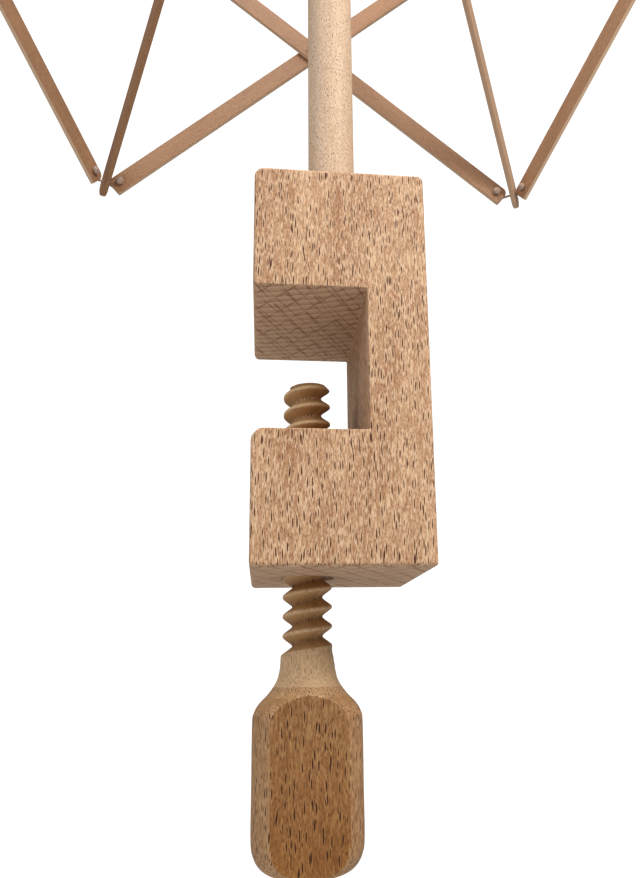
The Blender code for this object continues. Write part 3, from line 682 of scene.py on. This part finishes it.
def makeStrips():
    length = slat["length"]
    sharp, clip = slat["corner"], slat["clip"]  # the corners that pass a spoke are clipped
    slatHoles = [(0, slat["hole"]), (length / 2, slat["hole"]), (length, slat["hole"])]
    innerSlat, outerSlat = (
        stripShape(-slat["over"], length + slat["over"], corners, slat["half"], slat["thick"], slat["edge"],
                   slatHoles) for corners in ((clip, sharp, clip, sharp), (sharp, clip, sharp, clip)))
    flatSpoke = stripShape(-spoke["half"], length + spoke["over"], [spoke["half"] - 0.01 * mm] * 4,
                           spoke["half"], spoke["thick"], spoke["edge"],
                           [(0, spoke["wireHole"]), (length / 2, slat["hole"]), (length, slat["hole"])])
    side = spoke["side"]  # each spoke runs beside the middle of its joints
    for n in range(1, arms + 1):
        around = -jointAxis("fold_%d" % n)
        jobs = []
        hubHigh = jointAt("fold_%d" % n)
        low, high = jointAt("tie_low_%d_turn" % n), jointAt("tie_high_%d_turn" % n)
        hubLow = hubHigh * (1, 1, 0) + (0, 0, lowerZ)
        jobs.append(("spokeLow%d" % n, flatSpoke, hubHigh - around * side, low - hubHigh, around,
                     "spoke_low_%d" % n, "spoke_low_%d" % n))
        jobs.append(("spokeHigh%d" % n, flatSpoke, hubLow + around * side, high - hubLow, around,
                     "spoke_high_%d" % n, "spoke_high_%d" % n))
        normal = -jointAxis("slat_inner_%d_turn" % n)
        chord = np.cross(upward, normal)
        rise = upward * math.cos(openAngle)
        jobs.append(("slatInner%d" % n, innerSlat, jointAt("slat_inner_%d_turn" % n),
                     chord * math.sin(openAngle) + rise, normal, "slat_inner_%d" % n, "slat_inner_%d" % n))
        lean = rise - chord * math.sin(openAngle)  # hung from the upper tie, so placed from its far end
        jobs.append(("slatOuter%d" % n, outerSlat, jointAt("slat_outer_%d_turn" % n) - lean * length, lean,
                     normal, "slat_outer_%d" % n, "slat_outer_%d" % n))
        for index, (name, shape, origin, along, face, body, node) in enumerate(jobs):
            points, axes = placed(shape[0], origin, along, face)
            piece = solidFrom(name, points, shape[1])
            tone = (spoke if index < 2 else slat)["tints"][n - 1]
            pale = tone if index < 2 else -0.75  # painted highlight: a slat's edges are painted paler than its faces
            edgeOn = lambda centres, normals: np.where(np.abs(normals @ axes[0]) > 0.8, pale, tone)
            shift = (n * 17.0, index * 23.0, n * 61.0 + index * 37)
            woodGrain(piece, origin, axes[2], axes[0], shift, edgeOn)
            settle(piece, body, slatBeech, "sliced_beech_slat", node)


makeStrips()
print("slats and spokes ready")


# ---- cord ties: a twine of three strands with a knot at each end

twine = {"radius": 0.8 * mm, "lay": 4.4 * mm, "ply": 3, "knot": 2.8 * mm, "step": 0.35 * mm, "sides": 18,
         "off": 12.0 * mm, "layer": 1.7 * mm, "clear": 0.35 * mm,
         "knotHalf": 1.95 * mm, "knotRoom": 3.7 * mm}


def twineSurface(path, upAxis, knots):
    # radius = cord radius, lower between the strands, and a bulge of half an ellipse at each knot
    path = np.array(path, float)
    gone = np.concatenate([[0], np.cumsum(np.linalg.norm(np.diff(path, axis=0), axis=1))])
    far = np.arange(0, gone[-1], twine["step"])
    path = np.stack([np.interp(far, gone, path[:, i]) for i in range(3)], 1)
    along = np.gradient(path, axis=0)
    along /= np.linalg.norm(along, axis=1)[:, None]
    side = np.cross(along, upAxis)
    side /= np.linalg.norm(side, axis=1)[:, None]
    over = np.cross(side, along)
    angle = (np.arange(twine["sides"]) * 2 * math.pi / twine["sides"])[None]
    base = np.full(len(far), twine["radius"])
    wound = np.zeros(len(far))
    for middle, halfLength in knots:
        away = np.clip(1 - ((far - middle) / halfLength) ** 2, 0, 1)
        base = np.maximum(base, twine["knot"] * np.sqrt(away))
        wound = np.maximum(wound, np.sqrt(away))
    ends = np.minimum(far, far[-1] - far)
    base = base * np.sqrt(np.clip(ends / (0.5 * mm), 0.05, 1))
    # in a knot the strands run round more steeply and stand further out
    lay = twine["lay"] / (1 + 1.6 * wound)
    twist = np.cumsum(np.full(len(far), twine["step"]) / lay)[:, None] * 2 * math.pi
    crown = np.abs(np.cos(twine["ply"] / 2 * (angle - twist / twine["ply"] * 2)))
    depth = 0.16 + 0.06 * wound[:, None]
    r = base[:, None] * (1 - depth + depth * crown)
    points = path[:, None] + r[..., None] * (np.cos(angle)[..., None] * side[:, None]
                                             + np.sin(angle)[..., None] * over[:, None])
    rows, columns = r.shape
    faces = gridFaces(rows, columns)
    faces.append(list(range(columns))[::-1])
    faces.append([(rows - 1) * columns + i for i in range(columns)])
    return points.reshape(-1, 3), faces, crown.ravel()


def makeTie(name, path, upAxis, knots, body, node):
    points, faces, crown = twineSurface(path, upAxis, knots)
    piece = solidFrom(name, points, faces, sharp=75)
    if len(piece.data.vertices) == len(crown):
        layer = piece.data.attributes.new("crown", "FLOAT", "POINT")
        layer.data.foreach_set("value", crown.astype(np.float32))
    settle(piece, body, cottonTwine, "waxed_cord", node)


def jointRoute(flip):
    # in the joint's plane: x is outward, y goes round; from one slat's inner face to the other's
    c, s = math.cos(math.pi / arms), math.sin(math.pi / arms)
    plusT, plusN, minusT, minusN = map(np.array, ((-s, c), (c, s), (-s, -c), (c, -s)))
    plusAt, minusAt = plusT * twine["off"], minusT * twine["off"]
    half = slat["thick"] / 2
    inA, inB = -twine["layer"] - half - twine["clear"], twine["layer"] - half - twine["clear"]
    knotRoom = twine["knotRoom"]
    middle = [plusAt + plusN * (inA - knotRoom), plusAt + plusN * inA, plusAt + plusN * 0.6 * mm,
              np.array((-3.2, 12.1)) * mm, np.array((-0.6, 10.6)) * mm, np.array((0.4, 6.6)) * mm,
              np.array((0.0, 2.6)) * mm, np.array((0.0, -3.9)) * mm, np.array((1.9, -6.2)) * mm,
              np.array((2.6, -10.2)) * mm, np.array((0.4, -13.6)) * mm,
              minusAt + minusN * (inB + slat["thick"] + 1.05 * mm), minusAt + minusN * inB,
              minusAt + minusN * (inB - knotRoom)]
    return smoothPath(middle, 8) * (1, -1 if flip else 1)


def makeTies():
    knotHalf = twine["knotHalf"]
    for n in range(1, arms + 1):
        around = -jointAxis("fold_%d" % n)
        out = np.cross(around, upward)
        low, high = jointAt("tie_low_%d_turn" % n), jointAt("tie_high_%d_turn" % n)
        for word, centre, flip in (("Low", low, False), ("High", high, True)):
            flatRoute = jointRoute(flip)
            path = centre + flatRoute[:, :1] * out + flatRoute[:, 1:] * around
            gone = np.sum(np.linalg.norm(np.diff(path, axis=0), axis=1))
            knots = [(knotHalf, knotHalf), (gone - knotHalf, knotHalf)]
            key = "tie_%s_%d" % (word.lower(), n)
            makeTie("tie%s%d" % (word, n), path, upward, knots, key, key)
        jobs = []
        normal = -jointAxis("slat_inner_%d_turn" % n)
        following = n % arms + 1
        waist = (low + jointAt("tie_high_%d_turn" % following)) / 2
        jobs.append(("tieWaist%d" % n, waist, normal, twine["layer"] + slat["thick"] / 2,
                     "slat_inner_%d" % n, "tie_waist_%d" % n))
        pair = spoke["side"] + spoke["thick"] / 2
        jobs.append(("tieCross%d" % n, jointAt("spoke_cross_%d" % n), around, pair,
                     "spoke_low_%d" % n, "tie_cross_%d" % n))
        for name, centre, along, half, body, node in jobs:
            reach = half + twine["clear"] + twine["knotRoom"]
            path = [centre + along * t for t in np.linspace(-reach, reach, 9)]
            knots = [(knotHalf, knotHalf), (2 * reach - knotHalf, knotHalf)]
            makeTie(name, path, upward, knots, body, node)


makeTies()
print("cord ties ready")


# ---- hubs, wire rings, lock collar and thumbscrew

hub = {"radius": 31.0 * mm, "half": 9.0 * mm, "core": 16.8 * mm, "bore": 8.65 * mm, "slot": 4.3 * mm,
       "pivot": 24.0 * mm, "groove": 1.3 * mm, "side": spoke["side"], "wire": 0.8 * mm}


def slotCutter(centre, azimuth, side):
    out = np.array((math.cos(azimuth), math.sin(azimuth), 0.0))
    around = np.array((-out[1], out[0], 0.0))
    low, high = hub["core"], hub["radius"] + 8 * mm
    points = [centre + out * r + around * (side + w) + upward * h
              for r in (low, high) for w in (-hub["slot"] / 2, hub["slot"] / 2) for h in (-20 * mm, 20 * mm)]
    faces = [(0, 1, 3, 2), (4, 6, 7, 5), (0, 4, 5, 1), (2, 3, 7, 6), (0, 2, 6, 4), (1, 5, 7, 3)]
    return solidFrom("slotCut", points, faces)


def makeHub(name, centre, facing, body, node, ringName, ringNode):
    h, r = hub["half"], hub["radius"]
    inner, outer = hub["pivot"] - hub["groove"], hub["pivot"] + hub["groove"]
    section = roundedProfile([
        (hub["bore"], -h, 0.5 * mm), (r - 3 * mm, -h, 1 * mm), (r, -h + 3.2 * mm, 2.4 * mm),
        (r, h - 3.2 * mm, 2.4 * mm), (r - 3 * mm, h, 1 * mm), (outer, h, 0.4 * mm),
        (outer, -hub["groove"], 0.5 * mm), (inner, -hub["groove"], 0.5 * mm), (inner, h, 0.4 * mm),
        (hub["bore"], h, 0.5 * mm)], 4)
    # the lower hub is the same section turned over
    section = section * (1, facing)
    points, faces = turned(section, 120, centre, closed=True)
    cutters = []
    for n in range(1, arms + 1):
        pivot = jointAt("fold_%d" % n)
        cutters.append(slotCutter(centre, math.atan2(pivot[1], pivot[0]), -facing * hub["side"]))
    piece = solidFrom(name, points, faces, cutters)
    woodGrain(piece, centre, (1, 0.15, 0), (0, 0, 1), (12, 44, 70 * facing))
    settle(piece, body, latheBeech, "turned_beech_hub", node)

    turn, small = np.arange(144) * 2 * math.pi / 144, np.arange(14) * 2 * math.pi / 14
    r = hub["pivot"] + hub["wire"] * np.cos(small)[None]
    loop = np.stack([r * np.cos(turn)[:, None], r * np.sin(turn)[:, None],
                     np.repeat(hub["wire"] * np.sin(small)[None], 144, 0)], -1) + centre
    wire = solidFrom(ringName, loop, gridFaces(144, 14, closedRows=True))
    settle(wire, body, steelWire, "drawn_steel_wire", ringNode)


upperCentre = np.array((0.0, 0.0, upperZ))
lowerCentre = np.array((0.0, 0.0, lowerZ))
makeHub("upperHub", upperCentre, 1, "upper_hub", "upper_hub", "upperRing", "upper_ring")
makeHub("lowerHub", lowerCentre, -1, "lower_hub", "lower_hub", "lowerRing", "lower_ring")
print("hubs ready")

collar = {"radius": 16.0 * mm, "thumb": 3.0 * mm, "head": 9.0 * mm, "ribs": 18, "rib": 0.45 * mm}


def makeCollar():
    low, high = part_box("lock_collar")
    half = (high[2] - low[2]) / 2
    centre = np.array((0.0, 0.0, (high[2] + low[2]) / 2))
    r = collar["radius"]
    section = roundedProfile([
        (hub["bore"], -half, 0.5 * mm), (r, -half, 2.2 * mm), (r, -1.2 * mm, 0.3 * mm),
        (r - 0.7 * mm, 0, 0.3 * mm), (r, 1.2 * mm, 0.3 * mm), (r, half, 2.2 * mm),
        (hub["bore"], half, 0.5 * mm)], 4)
    points, faces = turned(section, 96, centre, closed=True)
    along = jointAxis("thumbscrew_turn")
    holePoints, holeFaces = turned([(collar["thumb"] + 0.35 * mm, 4 * mm),
                                    (collar["thumb"] + 0.35 * mm, 30 * mm)], 40)
    holePoints, _ = placed(holePoints, centre, along, upward)
    piece = solidFrom("lockCollar", points, faces, [solidFrom("thumbCut", holePoints, holeFaces)])
    woodGrain(piece, centre, (1, 0.4, 0), (0, 0, 1), (90, 5, 33))
    settle(piece, "lock_collar", latheBeech, "turned_beech_hub", "lock_collar")

    start = 8.7 * mm
    headIn = r + 3.0 * mm
    head = collar["head"]
    profile = roundedProfile([
        (0.0004, start, 0), (collar["thumb"], start, 0.6 * mm), (collar["thumb"], headIn, 0.4 * mm),
        (head - 2.0 * mm, headIn + 0.6 * mm, 1.2 * mm), (head, headIn + 3 * mm, 1.5 * mm),
        (head, headIn + 6.2 * mm, 1.5 * mm), (head - 2.2 * mm, headIn + 8.8 * mm, 1.2 * mm),
        (0.0004, headIn + 8.8 * mm, 0)], 5)
    sides = 144
    angle = (np.arange(sides) * 2 * math.pi / sides)[None]
    r0, z = profile[:, :1], profile[:, 1:]
    # finger ribs: the radius rises and falls round the head, most where the head is widest
    share = np.clip((r0 - 6.5 * mm) / (2.5 * mm), 0, 1)
    rr = r0 - collar["rib"] * share * (0.5 - 0.5 * np.cos(collar["ribs"] * angle))
    surface = np.stack([rr * np.cos(angle), rr * np.sin(angle), z + 0 * rr], -1).reshape(-1, 3)
    faces = gridFaces(len(profile), sides)
    faces.append(list(range(sides))[::-1])
    faces.append([(len(profile) - 1) * sides + i for i in range(sides)])
    surface, _ = placed(surface, centre, along, upward)
    knob = solidFrom("thumbscrew", surface, faces)
    woodGrain(knob, centre, along, (0, 0, 1), (44, 21, 9))
    settle(knob, "thumbscrew", latheBeech, "turned_beech_hub", "thumbscrew")


makeCollar()
print("collar and thumbscrew ready")


# ---- yarn cup

cup = {"radius": 27.0 * mm, "height": 44.0 * mm, "socket": 8.45 * mm}


def makeCup():
    low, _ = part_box("yarn_cup")
    base = low[2]
    r, h = cup["radius"], cup["height"]
    section = roundedProfile([
        (0.0004, 19.8 * mm, 0), (cup["socket"], 19.8 * mm, 0.6 * mm), (cup["socket"], 0.0, 0.6 * mm),
        (16.8 * mm, 0.0, 1.4 * mm), (17.0 * mm, 5.2 * mm, 2.2 * mm), (14.3 * mm, 8.6 * mm, 3.2 * mm),
        (15.2 * mm, 15.0 * mm, 9.0 * mm), (22.0 * mm, 22.0 * mm, 9.0 * mm), (r - 0.6 * mm, 30 * mm, 9.0 * mm),
        (r, h, 1.7 * mm), (r - 3.6 * mm, h, 1.6 * mm), (r - 5.2 * mm, 31.5 * mm, 7.0 * mm),
        (15.0 * mm, 25.8 * mm, 6.0 * mm), (0.0004, 24.8 * mm, 0)], 7)
    points, faces = turned(section, 120, (0, 0, base))
    piece = solidFrom("yarnCup", points, faces)
    woodGrain(piece, (0, 0, base), (0.03, 0, 1), (1, 0, 0), (60, 80, 15))
    settle(piece, "clamp", latheBeech, "turned_beech_hub", "yarn_cup")


makeCup()
print("yarn cup ready")


# ---- camera, floor and light

camera = {"at": (-23.2 * mm, -253.3 * mm, -113.3 * mm), "yaw": 0.1282, "pitch": 0.2413, "roll": -0.0196,
          "lens": 32.55, "shiftX": -0.0487, "shiftY": 0.036}


def makeCamera():
    yaw, pitch, roll = camera["yaw"], camera["pitch"], camera["roll"]
    ahead = np.array((math.sin(yaw) * math.cos(pitch), math.cos(yaw) * math.cos(pitch), math.sin(pitch)))
    right = np.array((math.cos(yaw), -math.sin(yaw), 0.0))
    up = np.cross(right, ahead)
    right, up = (right * math.cos(roll) + up * math.sin(roll), -right * math.sin(roll) + up * math.cos(roll))
    data = bpy.data.cameras.new("studioCamera")
    data.lens, data.sensor_width = camera["lens"], 36.0
    data.shift_x, data.shift_y = camera["shiftX"], camera["shiftY"]
    data.clip_start, data.clip_end = 0.01, 50.0
    made = bpy.data.objects.new("studioCamera", data)
    bpy.context.scene.collection.objects.link(made)
    turn = Matrix((right, up, -ahead)).transposed().to_4x4()
    made.matrix_world = Matrix.Translation(camera["at"]) @ turn
    bpy.context.scene.camera = made


def makeFloor():
    span, drop = 1.7, -0.74  # the floor is a table's height below the clamp
    made = bpy.data.objects.new("paleFloor", newMesh(
        "paleFloor", [(-span, -span, drop), (span, -span, drop), (span, span, drop), (-span, span, drop)],
        [(0, 1, 2, 3)]))
    bpy.context.scene.collection.objects.link(made)
    paint = bpy.data.materials.new("matt white studio floor")
    paint.use_nodes = True
    shader = paint.node_tree.nodes["Principled BSDF"]
    shader.inputs["Base Color"].default_value = linear("#fafafa")
    shader.inputs["Roughness"].default_value = 0.9
    made.data.materials.append(paint)


def makeLamp(name, at, target, size, power, tint):
    data = bpy.data.lights.new(name, "AREA")
    data.shape, data.size, data.energy, data.color = "SQUARE", size, power, linear(tint)[:3]
    made = bpy.data.objects.new(name, data)
    bpy.context.scene.collection.objects.link(made)
    away = Vector(target) - Vector(at)
    made.matrix_world = Matrix.Translation(at) @ away.to_track_quat("-Z", "Y").to_matrix().to_4x4()


def makeWorld():
    world = bpy.data.worlds.new("whiteStudio")
    bpy.context.scene.world = world
    world.use_nodes = True
    tree = world.node_tree
    tree.nodes.clear()
    seen = addNode(tree, "Background", {"Color": (1, 1, 1, 1), "Strength": 1.15})
    light = addNode(tree, "Background", {"Color": linear("#fdfaf6"), "Strength": 0.24})
    path = addNode(tree, "LightPath")
    mix = addNode(tree, "MixShader", links={0: path.outputs["Is Camera Ray"], 1: light.outputs[0],
                                            2: seen.outputs[0]})
    addNode(tree, "OutputWorld", links={0: mix.outputs[0]})


makeCamera()
makeFloor()
makeWorld()
# the key is high on the right and near, so that the light falls off down the handle
makeLamp("keySoftbox", (0.36, -0.42, 0.48), (0, 0, -0.03), 0.34, 5.9, "#fff8f0")
makeLamp("topSoftbox", (-0.25, -0.35, 1.3), (0, 0, 0.0), 0.8, 12.0, "#ffffff")
makeLamp("leftFill", (-1.0, -0.5, 0.45), (0, 0, -0.02), 0.6, 2.8, "#f6f8ff")
makeLamp("floorFill", (-0.45, -0.35, -0.62), (0, 0, -0.05), 0.6, 0.8, "#fff6ea")
bpy.context.scene.view_settings.view_transform = "Standard"
bpy.context.scene.view_settings.look = "None"
print("camera, floor and light ready")
